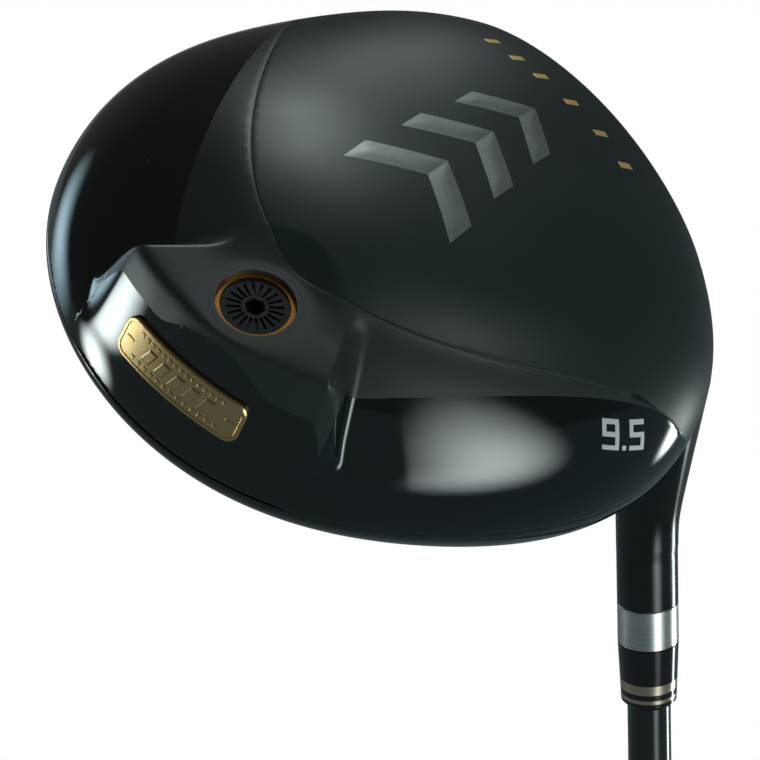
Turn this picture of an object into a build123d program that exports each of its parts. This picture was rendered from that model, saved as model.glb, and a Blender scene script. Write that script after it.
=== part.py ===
from build123d import *
from math import asin, atan2, cos, hypot, pi, radians, sin
import os

# Golf driver, right handed, standing head up on its grip as in a bag.
# Row frame: Z up along the shaft, origin at the middle of the grip's butt face,
# X towards the toe side of the head, -Y towards the target.
# The head is worked out in its own address frame: x towards the toe, y towards the
# target, z up from the ground, and is then turned onto the shaft. All sizes in mm.

# ---- club
club_length = 1150.0            # butt face to the ground, along the shaft
lie_angle = 58.5                # shaft to the ground
axis_x = -15.3                  # where the shaft's axis meets the ground
axis_y = -14.9

# ---- head outline and domes
head_centre_y = -52.0
head_radius = 61.8              # mean radius of the plan outline
rim_height = 31.5               # widest level of the head, above the ground
rim_rise_back = 10.3            # rise of that level from the middle to the back
rim_rise_heel = 1.6
crown_height = 61.8
crown_forward = 0.2             # how far the crown's fullness leans to the face
sole_roundness = 1.13
shell_wall = 1.2
dome_span = 1.75                # half width of a dome patch, in radians from its pole
dome_steps = 48
rim_tolerance = 0.01            # how closely the two domes meet at the rim

# ---- face
loft_angle = 9.5
face_radius = 300.0             # bulge and roll
face_centre_y = -4.5
face_centre_z = 30.0
face_thickness = 3.0
return_depth = 8.0              # how far the face cup wraps back round the shells
score_rows = 8
score_pitch = 4.0
score_width = 0.8
score_depth = 0.4
score_inner = 15.0              # from the middle of the face to the near end of a line
score_outer = 37.0              # to the far end of the middle lines
score_taper = 0.55              # how much shorter a line is per mm off the middle

# ---- sole zones: two parabolas seen in plan
panel_apex_y = -93.5
panel_curve = 0.0182
zone_apex_x = -3.5
band_apex_y = -109.3
band_curve = 0.0238
keel_reach = 57.6               # back edge of the keel plate, from the head centre
zone_margin = 20.0              # how far the zone outlines run past the head

# ---- keel block and scoops
keel_x = -9.5
keel_half_width = 15.5          # at keel_width_y
keel_width_y = -98.0
keel_flare = 0.7                # half width gained per mm towards the back
keel_slope = 0.25
keel_front_y = -86.0
keel_back_radius = 61.4         # back wall, from the head centre
keel_top = 36.0
keel_rounding = 3.0
scoop_radius = 62.0
scoop_depth = 4.5
toe_scoop = (31.0, -86.0)
heel_scoop = (-45.0, -82.0)

# ---- weight port
port_x = -7.0
port_y = -103.0
port_z = 12.4
port_radius = 7.1
port_depth = 3.4
insert_wall = 1.0
insert_length = 12.0
insert_floor = 1.2
thread_radius = 4.6
ring_height = 1.3
ring_width = 0.85
ring_sink = 0.9                 # the ring's top below the keel's face
head_sink = 0.3                 # the screw's top below the ring's top
head_foot_radius = 5.5          # underside of the screw head, inside the seal
shank_length = 6.4
flute_count = 20
flute_width = 0.55
flute_depth = 0.5
key_radius = 1.9
key_depth = 2.6
slug_radius = 3.2
slug_length = 3.4

# ---- badge on the back of the keel
badge_length = 28.0
badge_height = 8.6
badge_thickness = 0.9
badge_tape_thickness = 0.3
badge_corner = 2.6
badge_x = -6.0
badge_z = 28.6                  # middle of the badge above the ground

# ---- inside the shell
rib_height = 4.0
rib_thickness = 1.0
rib_length = 62.0
rib_toe_x = 22.0
rib_heel_x = -34.0
rib_y = -52.0
crown_rib_y = -58.0
glue_radius = 11.0
glue_height = 2.4
glue_x = 36.0
glue_y = -50.0

# ---- neck and collar, measured up the shaft's axis from the ground
neck_radius = 6.0
neck_top = 91.1
neck_parallel = 13.0            # straight length below the ring
neck_shoulder = 28.0            # below the ring
neck_shoulder_radius = 7.6
neck_root = 38.0
neck_root_radius = 8.8
neck_length = 49.0
neck_foot_radius = 8.0
ring_length = 8.7
ring_chamfer = 0.3
ferrule_length = 13.3
ferrule_end_radius = 5.5
ferrule_chamfer = 0.9
band_wide_from = 7.6            # from the ring's top
band_wide_length = 2.0
band_thin_from = 10.8
band_thin_length = 0.8
band_depth = 0.6
tip_depth = 47.0                # shaft tip below the ring
spigot_depth = 31.0             # inner tube's top below the ring

# ---- shaft
tip_radius = 4.3
butt_radius = 7.6
parallel_tip = 76.0
shaft_wall_tip = 1.2
shaft_wall_butt = 0.9
glue_gap = 0.15
sleeve_wall = 1.1
sleeve_floor = 1.2
plug_length = 12.0

# ---- grip
grip_length = 268.0
grip_mouth_radius = 9.2
grip_butt_radius = 13.4
grip_cap_length = 7.0
grip_cap_edge = 0.8
grip_rounding = 2.5
vent_radius = 1.6
tape_thickness = 0.25
shaft_in_grip = 5.0             # end of the shaft above the butt face

fit = 0.05                      # running clearance on a radius


# ---- frames
lie = radians(lie_angle)
loft = radians(loft_angle)
toe_dir = Vector(sin(lie), 0, cos(lie))
up_dir = Vector(cos(lie), 0, -sin(lie))
ground_point = Vector(0, 0, club_length)
head_origin = ground_point - toe_dir * axis_x + Vector(0, axis_y, 0)
head_frame = Plane(origin=head_origin, x_dir=toe_dir, z_dir=up_dir)


def save(shape, node):
    """Write one node."""
    solids = shape.solids()
    kept = solids[0] if len(solids) == 1 else Compound(children=list(solids))
    kept.label = node
    export_step(kept, f"parts/{node}.step")


# ---- head surfaces
def outline_radius(turn):
    """Plan outline about the head centre: rounder at the back, fuller at the toe."""
    wave = 0.5 * cos(turn) - 1.7 * cos(2 * turn) - 0.64 * sin(2 * turn)
    wave += -2.2 * cos(3 * turn) - 1.4 * sin(4 * turn)
    return head_radius + wave


def rim_level(x, y):
    back = (head_centre_y - y) / head_radius
    heel = -x / head_radius
    return rim_height + rim_rise_back * back + rim_rise_heel * heel


def sole_point(u, v, inset):
    """Outside of the round sole at an angle from its lowest point, moved in by inset."""
    tilt = hypot(u, v)
    turn = atan2(v, u)
    radius = outline_radius(turn) - inset
    x = radius * cos(turn) * sin(tilt)
    y = head_centre_y + radius * sin(turn) * sin(tilt)
    rim = rim_level(x, y)
    return (x, y, inset + (rim - inset) * (1 - cos(tilt)) ** sole_roundness)


def crown_point(u, v, inset):
    tilt = hypot(u, v)
    turn = atan2(v, u)
    radius = outline_radius(turn) - inset
    x = radius * cos(turn) * sin(tilt)
    y = head_centre_y + radius * sin(turn) * sin(tilt)
    rim = rim_level(x, y)
    lean = 1 + crown_forward * sin(tilt) * sin(turn)
    return (x, y, rim + (crown_height - inset - rim) * cos(tilt) * lean)


rim_normal = Vector(rim_rise_heel / head_radius, rim_rise_back / head_radius, 1)
rim_plane = Plane(origin=(0, head_centre_y, rim_height), z_dir=rim_normal)
below = Align.MAX
above = Align.MIN
room = 4 * head_radius


def half_space(side):
    return rim_plane.location * Box(room, room, room, align=(Align.CENTER, Align.CENTER, side))


def dome(point, inset, side):
    """Solid between a domed surface and the rim plane."""
    ticks = [dome_span * (2 * i / dome_steps - 1) for i in range(dome_steps + 1)]
    grid = [[point(u, v, inset) for v in ticks] for u in ticks]
    skin = Face.make_surface_from_array_of_points(grid, tol=0.02, min_deg=3, max_deg=3)
    skin = skin.intersect(half_space(side)).faces()[0]
    lid = Face(Wire(skin.edges()))
    return Solid(Shell([skin, lid]))


def keel_plan(reach, inset):
    """Plan of the keel, wider at the back, out to a reach behind the head centre."""
    back_y = head_centre_y - reach
    front = keel_half_width + keel_flare * (keel_width_y - keel_front_y) - inset
    back = keel_half_width + keel_flare * (keel_width_y - back_y) - inset
    corners = [
        (keel_x - front, keel_front_y),
        (keel_x + front, keel_front_y),
        (keel_x + back, back_y),
        (keel_x - back, back_y),
    ]
    return make_face(Polyline(*corners, close=True))


def keel_block(inset):
    """Raised block that carries the weight port, moved in by inset."""
    plan = keel_plan(keel_back_radius + keel_rounding, inset)
    block = extrude(plan, amount=keel_top)
    limit = Pos(0, head_centre_y, 0) * Cylinder(
        keel_back_radius - inset, keel_top, align=(Align.CENTER, Align.CENTER, Align.MIN)
    )
    face_plane = Plane(origin=(port_x, port_y, port_z + inset), z_dir=(0, keel_slope, 1))
    inside = face_plane.location * Box(room, room, room, align=(Align.CENTER, Align.CENTER, above))
    block = block & limit & inside
    face_edges = block.faces().sort_by(Axis.Z)[0].edges()
    return fillet(face_edges, keel_rounding)


def scoop_tool(place, growth):
    """Ball that sinks a shallow dish into the round sole."""
    x, y = place
    turn = atan2(y - head_centre_y, x)
    reach = hypot(x, y - head_centre_y) / outline_radius(turn)
    tilt = asin(reach)
    u = tilt * cos(turn)
    v = tilt * sin(turn)
    seat = Vector(*sole_point(u, v, 0))
    along = Vector(*sole_point(u + 0.01, v, 0)) - seat
    across = Vector(*sole_point(u, v + 0.01, 0)) - seat
    outward = across.cross(along).normalized()
    return Pos(seat + outward * (scoop_radius - scoop_depth)) * Sphere(scoop_radius + growth)


scoops = [toe_scoop, heel_scoop]
sole_out = dome(sole_point, 0, below)
sole_in = dome(sole_point, shell_wall, below)
for place in scoops:
    sole_out -= scoop_tool(place, 0)
    sole_in -= scoop_tool(place, shell_wall)
sole_out += keel_block(0)
sole_in += keel_block(shell_wall)
crown_out = dome(crown_point, 0, above)
crown_in = dome(crown_point, shell_wall, above)
sole_blank = sole_out - sole_in
crown_blank = crown_out - crown_in

# ---- face
face_normal = Vector(0, cos(loft), sin(loft))
face_centre = Vector(0, face_centre_y, face_centre_z)
bulge_centre = face_centre - face_normal * face_radius
face_front = Pos(bulge_centre) * Sphere(face_radius)
face_back = Pos(bulge_centre) * Sphere(face_radius - face_thickness)
return_plane = Plane(origin=face_centre - face_normal * return_depth, z_dir=face_normal)
return_space = return_plane.location * Box(
    room, room, room, align=(Align.CENTER, Align.CENTER, above)
)
hitting_face = face_front - face_back
lower_cup = (sole_out & hitting_face) + ((sole_blank & face_back) & return_space)
upper_cup = (crown_out & hitting_face) + ((crown_blank & face_back) & return_space)
face_cup = lower_cup.fuse(upper_cup, tol=rim_tolerance)
score_skin = face_front - Pos(bulge_centre) * Sphere(face_radius - score_depth)
face_plane = Plane(origin=face_centre, x_dir=(1, 0, 0), z_dir=face_normal)
slots = []
for row in range(score_rows):
    height = (row - (score_rows - 1) / 2) * score_pitch
    end = score_outer - score_taper * abs(height)
    slot = Box(end - score_inner, score_width, face_thickness * 4)
    slots.append(face_plane.location * Pos((score_inner + end) / 2, height, 0) * slot)
    slots.append(face_plane.location * Pos(-(score_inner + end) / 2, height, 0) * slot)
face_cup -= score_skin & Compound(children=slots)
sole_shell = (sole_blank & face_back) - return_space
crown_shell = (crown_blank & face_back) - return_space


# ---- sole zones
def parabola(apex_y, curve):
    """Plan area on the target side of a parabola, as a prism."""
    reach = head_radius + zone_margin
    end_y = apex_y + curve * reach**2
    left = (zone_apex_x - reach, end_y)
    right = (zone_apex_x + reach, end_y)
    middle = (zone_apex_x, apex_y - curve * reach**2)
    top = room / 2
    far_side = Polyline(right, (right[0], top), (left[0], top), left)
    area = make_face([Bezier(left, middle, right), *far_side.edges()])
    return Pos(0, 0, -top) * extrude(area, amount=room)


panel_zone = parabola(panel_apex_y, panel_curve)
band_zone = parabola(band_apex_y, band_curve)
block_zone = Pos(0, 0, keel_top - room) * extrude(keel_plan(keel_reach, 0), amount=room)
reach_zone = Pos(0, head_centre_y, keel_top) * Cylinder(
    keel_reach, room, align=(Align.CENTER, Align.CENTER, below)
)
keel_zone = (band_zone + block_zone) & reach_zone

port_frame = Plane(origin=(port_x, port_y, port_z), z_dir=(0, -keel_slope, -1))
insert_radius = port_radius + insert_wall
up = (Align.CENTER, Align.CENTER, Align.MIN)
down = (Align.CENTER, Align.CENTER, Align.MAX)
port_hole = port_frame.location * Pos(0, 0, port_depth) * Cylinder(
    insert_radius, 2 * port_depth + shell_wall, align=down
)

sole_plate = sole_shell & panel_zone
behind_panel = sole_shell - panel_zone
keel_plate = (behind_panel & keel_zone) - port_hole
body_shell = behind_panel - keel_zone - port_hole


# ---- weight port: local z points out of the keel, 0 at its face
ring_top = -ring_sink
ring_foot = ring_top - ring_height
seal_radius = (port_depth + ring_foot) / 2
ring_outer = port_radius - fit
ring_inner = ring_outer - ring_width
head_top = ring_top - head_sink
head_radius_out = ring_inner - fit
shank_radius = thread_radius - fit
shank_foot = -port_depth - shank_length

port_insert = Cylinder(insert_radius, insert_length, align=down)
port_insert -= Cylinder(port_radius, port_depth, align=down)
port_insert -= Cylinder(thread_radius, insert_length - insert_floor, align=down)
port_insert = port_insert & (port_frame.location.inverse() * sole_out)

port_ring = Pos(0, 0, ring_foot) * (
    Cylinder(ring_outer, ring_height, align=up) - Cylinder(ring_inner, ring_height, align=up)
)
port_seal = Pos(0, 0, ring_foot - seal_radius) * Torus(ring_outer - seal_radius, seal_radius)

weight_screw = Pos(0, 0, ring_foot) * Cylinder(head_radius_out, head_top - ring_foot, align=up)
weight_screw += Pos(0, 0, ring_foot) * Cylinder(
    head_foot_radius, port_depth + ring_foot, align=down
)
weight_screw += Pos(0, 0, ring_foot) * Cylinder(shank_radius, ring_foot - shank_foot, align=down)
flute_length = head_radius_out - key_radius - 3 * flute_width
flute_middle = key_radius + flute_width + flute_length / 2
flute = Pos(flute_middle, 0, head_top) * Box(flute_length, flute_width, 2 * flute_depth)
for turn in range(flute_count):
    weight_screw -= Rot(0, 0, turn * 360 / flute_count) * flute
weight_screw -= Pos(0, 0, head_top) * extrude(RegularPolygon(key_radius, 6), amount=-key_depth)
weight_screw -= Pos(0, 0, shank_foot) * Cylinder(slug_radius, slug_length, align=up)
weight_slug = Pos(0, 0, shank_foot) * Cylinder(slug_radius, slug_length, align=up)

# ---- badge
badge_turn = (180 / pi) * asin(badge_x / keel_back_radius)


def badge_layer(inner, thickness, inset):
    """Curved plate on the keel's back wall."""
    plan = RectangleRounded(
        badge_length - 2 * inset, badge_height - 2 * inset, badge_corner - inset
    )
    plate = Rot(90, 0, 0) * extrude(plan, amount=2 * keel_back_radius)
    ring = Cylinder(inner + thickness, room / 4) - Cylinder(inner, room / 4)
    plate = Rot(0, 0, badge_turn) * (plate & ring)
    return Pos(0, head_centre_y, badge_z) * plate


tape_inset = 0.4
badge_tape = badge_layer(keel_back_radius, badge_tape_thickness, tape_inset) - sole_out
sole_badge = badge_layer(keel_back_radius + badge_tape_thickness, badge_thickness, 0) - sole_out

# ---- ribs and glue inside
sole_lift = sole_in - Pos(0, 0, rib_height) * sole_in


def sole_rib(x):
    return sole_lift & (Pos(x, rib_y, 0) * Box(rib_thickness, rib_length, room))


sole_rib_toe = sole_rib(rib_toe_x)
sole_rib_heel = sole_rib(rib_heel_x)
crown_lift = crown_in - Pos(0, 0, -rib_height) * crown_in
rib_slab = Box(rib_length, rib_thickness, rim_height)
crown_rib = crown_lift & (Pos(0, crown_rib_y, crown_height) * rib_slab)
glue_lift = sole_in - Pos(0, 0, glue_height) * sole_in
glue_pad = glue_lift & (Pos(glue_x, glue_y, 0) * Cylinder(glue_radius, rim_height))

# ---- neck, collar and shaft: row frame, on the shaft's axis
neck_end = club_length - neck_top
tip_end = neck_end + tip_depth
bore_radius = tip_radius + glue_gap
sleeve_radius = bore_radius + sleeve_wall
outer_sole = head_frame.location * sole_out
outer_crown = head_frame.location * crown_out


def turned(*corners):
    """Solid of revolution about Z from (radius, height) corners."""
    return revolve(Plane.XZ * make_face(Polyline(*corners, close=True)), Axis.Z)


def tube(outer, inner, low, high):
    return Pos(0, 0, low) * (
        Cylinder(outer, high - low, align=up) - Cylinder(inner, high - low, align=up)
    )


flare = Spline(
    (neck_radius, neck_end + neck_parallel),
    (neck_shoulder_radius, neck_end + neck_shoulder),
    (neck_root_radius, neck_end + neck_root),
    (neck_foot_radius, neck_end + neck_length),
    tangents=((0, 1), (-0.5, 1)),
)
outline = [
    *flare.edges(),
    *Polyline(
        (neck_foot_radius, neck_end + neck_length),
        (0, neck_end + neck_length),
        (0, neck_end),
        (neck_radius, neck_end),
        (neck_radius, neck_end + neck_parallel),
    ).edges(),
]
hosel_neck = revolve(Plane.XZ * make_face(outline), Axis.Z)
hosel_neck -= Pos(0, 0, neck_end) * Cylinder(bore_radius, neck_length, align=up)
spigot_end = neck_end + spigot_depth
hosel_neck -= Pos(0, 0, spigot_end) * Cylinder(sleeve_radius, neck_length, align=up)
hosel_neck = hosel_neck - outer_sole - outer_crown

hosel_sleeve = Pos(0, 0, spigot_end) * (
    Cylinder(sleeve_radius, tip_end + sleeve_floor - spigot_end, align=up)
    - Cylinder(bore_radius, tip_end - spigot_end, align=up)
)

ring_end = neck_end - ring_length
hosel_ring = tube(neck_radius, bore_radius, ring_end, neck_end)
outer_rims = hosel_ring.edges().filter_by(lambda edge: edge.length > 2 * pi * (bore_radius + fit))
hosel_ring = chamfer(outer_rims, ring_chamfer)

ferrule_end = ring_end - ferrule_length
ferrule_blank = turned(
    (bore_radius, ring_end),
    (neck_radius, ring_end),
    (ferrule_end_radius, ferrule_end + ferrule_chamfer),
    (ferrule_end_radius - ferrule_chamfer, ferrule_end),
    (bore_radius, ferrule_end),
)


def ferrule_band(start, length):
    top = ring_end - start
    return ferrule_blank & tube(neck_radius, ferrule_end_radius - band_depth, top - length, top)


ferrule_band_wide = ferrule_band(band_wide_from, band_wide_length)
ferrule_band_thin = ferrule_band(band_thin_from, band_thin_length)
ferrule = ferrule_blank - ferrule_band_wide - ferrule_band_thin

taper_top = tip_end - parallel_tip


def shaft_radius(height):
    """Outside of the shaft at a height above the butt face."""
    share = (height - shaft_in_grip) / (taper_top - shaft_in_grip)
    return butt_radius + (tip_radius - butt_radius) * share


shaft = turned(
    (butt_radius, shaft_in_grip),
    (tip_radius, taper_top),
    (tip_radius, tip_end),
    (tip_radius - shaft_wall_tip, tip_end),
    (tip_radius - shaft_wall_tip, taper_top),
    (butt_radius - shaft_wall_butt, shaft_in_grip),
)
shaft_glue = tube(bore_radius, tip_radius, ferrule_end + ferrule_chamfer, tip_end)
tip_plug = Pos(0, 0, tip_end) * Cylinder(tip_radius - shaft_wall_tip, plug_length, align=down)

# ---- grip
pocket_radius = butt_radius + tape_thickness
grip_tape = turned(
    (butt_radius, shaft_in_grip),
    (shaft_radius(grip_length), grip_length),
    (shaft_radius(grip_length) + tape_thickness, grip_length),
    (pocket_radius, shaft_in_grip),
)
sleeve_inner_low = shaft_radius(grip_cap_length) + tape_thickness
grip_sleeve = turned(
    (sleeve_inner_low, grip_cap_length),
    (grip_butt_radius, grip_cap_length),
    (grip_mouth_radius, grip_length),
    (shaft_radius(grip_length) + tape_thickness, grip_length),
)
cap_radius = grip_butt_radius + grip_cap_edge
grip_cap = Cylinder(cap_radius, grip_cap_length, align=up)
grip_cap = fillet(grip_cap.edges().group_by(Axis.Z)[0], grip_rounding)
grip_cap -= Cylinder(vent_radius, grip_cap_length, align=up)
grip_cap -= turned(
    (0, shaft_in_grip),
    (pocket_radius, shaft_in_grip),
    (sleeve_inner_low, grip_cap_length),
    (0, grip_cap_length),
)

# ---- holes for the inner tube
sleeve_end = tip_end + sleeve_floor
sleeve_path = Pos(0, 0, neck_end) * Cylinder(sleeve_radius, sleeve_end - neck_end, align=up)
sleeve_hole = head_frame.location.inverse() * sleeve_path
crown_shell -= sleeve_hole
face_cup -= sleeve_hole

# ---- nodes
os.makedirs("parts", exist_ok=True)
head_pieces = {
    "face_cup": face_cup,
    "crown_shell": crown_shell,
    "sole_plate": sole_plate,
    "keel_plate": keel_plate,
    "body_shell": body_shell,
    "badge_tape": badge_tape,
    "sole_badge": sole_badge,
    "sole_rib_toe": sole_rib_toe,
    "sole_rib_heel": sole_rib_heel,
    "crown_rib": crown_rib,
    "glue_pad": glue_pad,
}
port_pieces = {
    "port_insert": port_insert,
    "port_ring": port_ring,
    "port_seal": port_seal,
    "weight_screw": weight_screw,
    "weight_slug": weight_slug,
}
shaft_pieces = {
    "hosel_neck": hosel_neck,
    "hosel_sleeve": hosel_sleeve,
    "hosel_ring": hosel_ring,
    "ferrule": ferrule,
    "ferrule_band_wide": ferrule_band_wide,
    "ferrule_band_thin": ferrule_band_thin,
    "shaft": shaft,
    "shaft_glue": shaft_glue,
    "tip_plug": tip_plug,
    "grip_tape": grip_tape,
    "grip_sleeve": grip_sleeve,
    "grip_cap": grip_cap,
}
for node, piece in head_pieces.items():
    save(head_frame.location * piece, node)
for node, piece in port_pieces.items():
    save(head_frame.location * port_frame.location * piece, node)
for node, piece in shaft_pieces.items():
    save(piece, node)

port_place = head_frame.location * port_frame.location
outward = Plane(port_place).z_dir
print("port centre", port_place.position, "outward", outward)
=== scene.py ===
"""Looks of the golf driver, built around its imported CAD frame."""

import logging
import math
from dataclasses import dataclass
from enum import Enum
from typing import Callable, Sequence

import bpy
import numpy as np
from mathutils import Matrix, Vector, kdtree
from mathutils.geometry import delaunay_2d_cdt


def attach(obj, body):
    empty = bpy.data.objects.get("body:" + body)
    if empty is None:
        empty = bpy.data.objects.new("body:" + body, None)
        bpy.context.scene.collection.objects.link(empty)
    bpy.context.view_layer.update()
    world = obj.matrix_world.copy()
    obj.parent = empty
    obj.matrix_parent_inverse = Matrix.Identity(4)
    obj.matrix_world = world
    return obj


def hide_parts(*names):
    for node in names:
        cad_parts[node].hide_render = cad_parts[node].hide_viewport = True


logging.basicConfig(level=logging.INFO, format="%(message)s")
log = logging.getLogger("driver")

MM = 0.001
Colour = tuple[float, float, float]
Plan = tuple[float, float]
Point = tuple[float, float, float]
Lift = Callable[[np.ndarray, np.ndarray], np.ndarray]

SMUDGE_SCALE = 26.0
DUST_SHARE = 0.25
DUST_COLOUR: Colour = (0.3, 0.3, 0.28)

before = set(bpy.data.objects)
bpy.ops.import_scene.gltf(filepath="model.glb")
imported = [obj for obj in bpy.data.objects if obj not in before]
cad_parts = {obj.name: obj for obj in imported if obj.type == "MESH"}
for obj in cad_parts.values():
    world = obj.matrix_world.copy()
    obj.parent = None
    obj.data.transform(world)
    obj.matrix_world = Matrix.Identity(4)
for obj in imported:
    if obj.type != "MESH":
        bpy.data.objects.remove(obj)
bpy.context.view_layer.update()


# ---------------------------------------------------------------- shape of the head
def smooth(low: float, high: float, value: np.ndarray) -> np.ndarray:
    """Smooth step from 0 at low to 1 at high."""
    share = np.clip((value - low) / (high - low), 0, 1)
    return share * share * (3 - 2 * share)


def soft_max(a: np.ndarray, b: np.ndarray, width: float) -> np.ndarray:
    """Larger of two heights, rounded over a width where they cross."""
    return (a + b + np.sqrt((a - b) ** 2 + width**2)) / 2


def soft_min(a: np.ndarray, b: np.ndarray, width: float) -> np.ndarray:
    """Smaller of two heights, rounded over a width where they cross."""
    return (a + b - np.sqrt((a - b) ** 2 + width**2)) / 2


@dataclass(frozen=True)
class HeadForm:
    """Formula of the head in its address frame, in millimetres.

    x points to the toe, y to the target and z up from the ground, with the club soled.
    A place on the sole or crown is given by two angles from its pole, towards x and y.
    """

    club_length: float = 1150.0
    lie: float = math.radians(58.5)
    axis_x: float = -15.3
    axis_y: float = -14.9
    centre_y: float = -52.0
    radius: float = 61.8
    rim: float = 31.5
    rim_rise_back: float = 10.3
    rim_rise_heel: float = 1.6
    crown: float = 61.8
    crown_forward: float = 0.2
    roundness: float = 1.13
    loft: float = math.radians(9.5)
    face_radius: float = 300.0
    face_centre: Point = (0.0, -4.5, 30.0)
    return_depth: float = 8.0
    port: Point = (-7.0, -103.0, 12.4)
    keel_slope: float = 0.25
    keel_x: float = -9.5
    keel_half_width: float = 15.5
    keel_width_y: float = -98.0
    keel_flare: float = 0.7
    keel_flare_stop: float = 8.0
    keel_rise: tuple[float, float] = (80.0, 100.0)
    keel_round: float = 1.0
    keel_share: float = 0.969
    wall_share: float = 0.96
    wall_foot: float = 15.0
    wall_round: float = 3.5
    flank: float = 5.0
    flank_spread: float = 0.4
    flank_drop: float = 14.0
    crest: float = 2.0
    keel_trim: float = 3.0
    port_flat: tuple[float, float] = (8.6, 15.0)
    port_back: tuple[float, float] = (0.966, 0.975)
    scoop_depth: float = 4.5
    scoop_reach: float = 42.0
    scoop_ramp: float = 24.0
    scoop_tilts: tuple[float, float] = (1.15, 1.5)
    panel_apex: float = -93.5
    panel_curve: float = 0.0182
    band_apex: float = -109.3
    band_curve: float = 0.0238
    zone_x: float = -3.5

    def outline(self, turn: np.ndarray) -> np.ndarray:
        """Radius of the plan outline at each turn about the head centre."""
        wave = 0.5 * np.cos(turn) - 1.7 * np.cos(2 * turn) - 0.64 * np.sin(2 * turn)
        return self.radius + wave - 2.2 * np.cos(3 * turn) - 1.4 * np.sin(4 * turn)

    def rim_level(self, x: np.ndarray, y: np.ndarray) -> np.ndarray:
        """Height of the widest level of the head."""
        back = (self.centre_y - y) / self.radius
        return self.rim + self.rim_rise_back * back - self.rim_rise_heel * x / self.radius

    def plan_place(self, u: np.ndarray, v: np.ndarray) -> tuple[np.ndarray, ...]:
        """Tilt, turn and plan place of angle pairs.

        Args:
            u: Angle from the pole towards the toe, in radians.
            v: Angle from the pole towards the target.

        Returns:
            The tilt, the turn, x and y.
        """
        tilt = np.hypot(u, v)
        turn = np.arctan2(v, u)
        reach = self.outline(turn) * np.sin(tilt)
        return tilt, turn, reach * np.cos(turn), self.centre_y + reach * np.sin(turn)

    def angles(self, x: np.ndarray, y: np.ndarray) -> np.ndarray:
        """Angle pairs of plan places, as rows of u, v.

        Args:
            x: Plan places towards the toe, in millimetres.
            y: Plan places towards the target.

        Returns:
            Rows of u, v, in radians.
        """
        turn = np.arctan2(y - self.centre_y, x)
        share = np.hypot(x, y - self.centre_y) / self.outline(turn)
        tilt = np.arcsin(np.clip(share, 0, 1))
        return np.stack([tilt * np.cos(turn), tilt * np.sin(turn)], axis=-1)

    def keel_half(self, y: np.ndarray) -> np.ndarray:
        """Half width of the keel block, which flares towards the back."""
        widening = self.keel_flare * np.maximum(self.keel_width_y - y, -self.keel_flare_stop)
        return self.keel_half_width + widening

    def keel_side(self, x: np.ndarray, y: np.ndarray) -> np.ndarray:
        """Distance outside the keel block's flank, negative on the block."""
        return np.abs(x - self.keel_x) - self.keel_half(y)

    def panel_line(self, x: np.ndarray) -> np.ndarray:
        """Plan of the sole panel's back edge."""
        return self.panel_apex + self.panel_curve * (x - self.zone_x) ** 2

    def band_line(self, x: np.ndarray) -> np.ndarray:
        """Plan of the back edge of the keel plate's arms."""
        return self.band_apex + self.band_curve * (x - self.zone_x) ** 2

    def sole(self, u: np.ndarray, v: np.ndarray) -> np.ndarray:
        """Points of the sole's outside, one row of x, y, z for each angle pair.

        Args:
            u: Angle from the pole towards the toe, in radians.
            v: Angle from the pole towards the target.

        Returns:
            Rows of x, y, z in the head frame, in millimetres.
        """
        tilt, _, x, y = self.plan_place(u, v)
        rim = self.rim_level(x, y)
        ball = rim * (1 - np.cos(tilt)) ** self.roundness
        flat = self.port[2] + self.keel_slope * (self.port[1] - y)
        share = np.sin(tilt)
        wall = self.wall_foot + (rim - self.wall_foot) * (share - self.wall_share) / (1 - self.wall_share)
        keel = soft_min(ball, soft_max(flat, wall, self.wall_round), self.keel_round)
        side = self.keel_side(x, y)
        width = self.flank + self.flank_spread * np.clip(ball - keel, 0, self.flank_drop)
        beside = smooth(0, 1, (side + self.crest) / width)
        fade = (1 - smooth(*self.scoop_tilts, tilt)) * (1 - smooth(self.flank, self.scoop_reach, side))
        scoop = self.scoop_depth * smooth(0, self.scoop_ramp, self.panel_line(x) - y) * fade
        z = ball + (1 - beside) * smooth(*self.keel_rise, -y) * (keel - ball) + beside * scoop
        level = 1 - smooth(*self.port_flat, np.hypot(x - self.port[0], y - self.port[1]))
        level *= 1 - smooth(*self.port_back, share)
        return np.stack([x, y, z + level * (flat - z)], axis=-1)

    def sole_at(self, turn: np.ndarray, height: np.ndarray) -> np.ndarray:
        """Angle pairs of the sole's places at turns and heights, on its steep back and sides.

        Args:
            turn: Turns about the head's centre, in radians.
            height: Heights above the ground, in millimetres.

        Returns:
            Rows of u, v, found by halving.
        """
        low = np.full_like(turn, 0.9)
        high = np.full_like(turn, math.pi / 2)
        for _ in range(24):
            tilt = (low + high) / 2
            under = self.sole(tilt * np.cos(turn), tilt * np.sin(turn))[..., 2] < height
            low = np.where(under, tilt, low)
            high = np.where(under, high, tilt)
        return np.stack([tilt * np.cos(turn), tilt * np.sin(turn)], axis=-1)

    def crown_top(self, u: np.ndarray, v: np.ndarray) -> np.ndarray:
        """Points of the crown's outside, one row of x, y, z for each angle pair.

        Args:
            u: Angle from the pole towards the toe, in radians.
            v: Angle from the pole towards the target.

        Returns:
            Rows of x, y, z in the head frame, in millimetres.
        """
        tilt, turn, x, y = self.plan_place(u, v)
        rim = self.rim_level(x, y)
        lean = 1 + self.crown_forward * np.sin(tilt) * np.sin(turn)
        return np.stack([x, y, rim + (self.crown - rim) * np.cos(tilt) * lean], axis=-1)

    def ahead(self, points: np.ndarray) -> np.ndarray:
        """Distance ahead of the plane where the face cup meets the shells."""
        normal = np.array([0, math.cos(self.loft), math.sin(self.loft)])
        return (points - np.array(self.face_centre)) @ normal + self.return_depth

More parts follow.
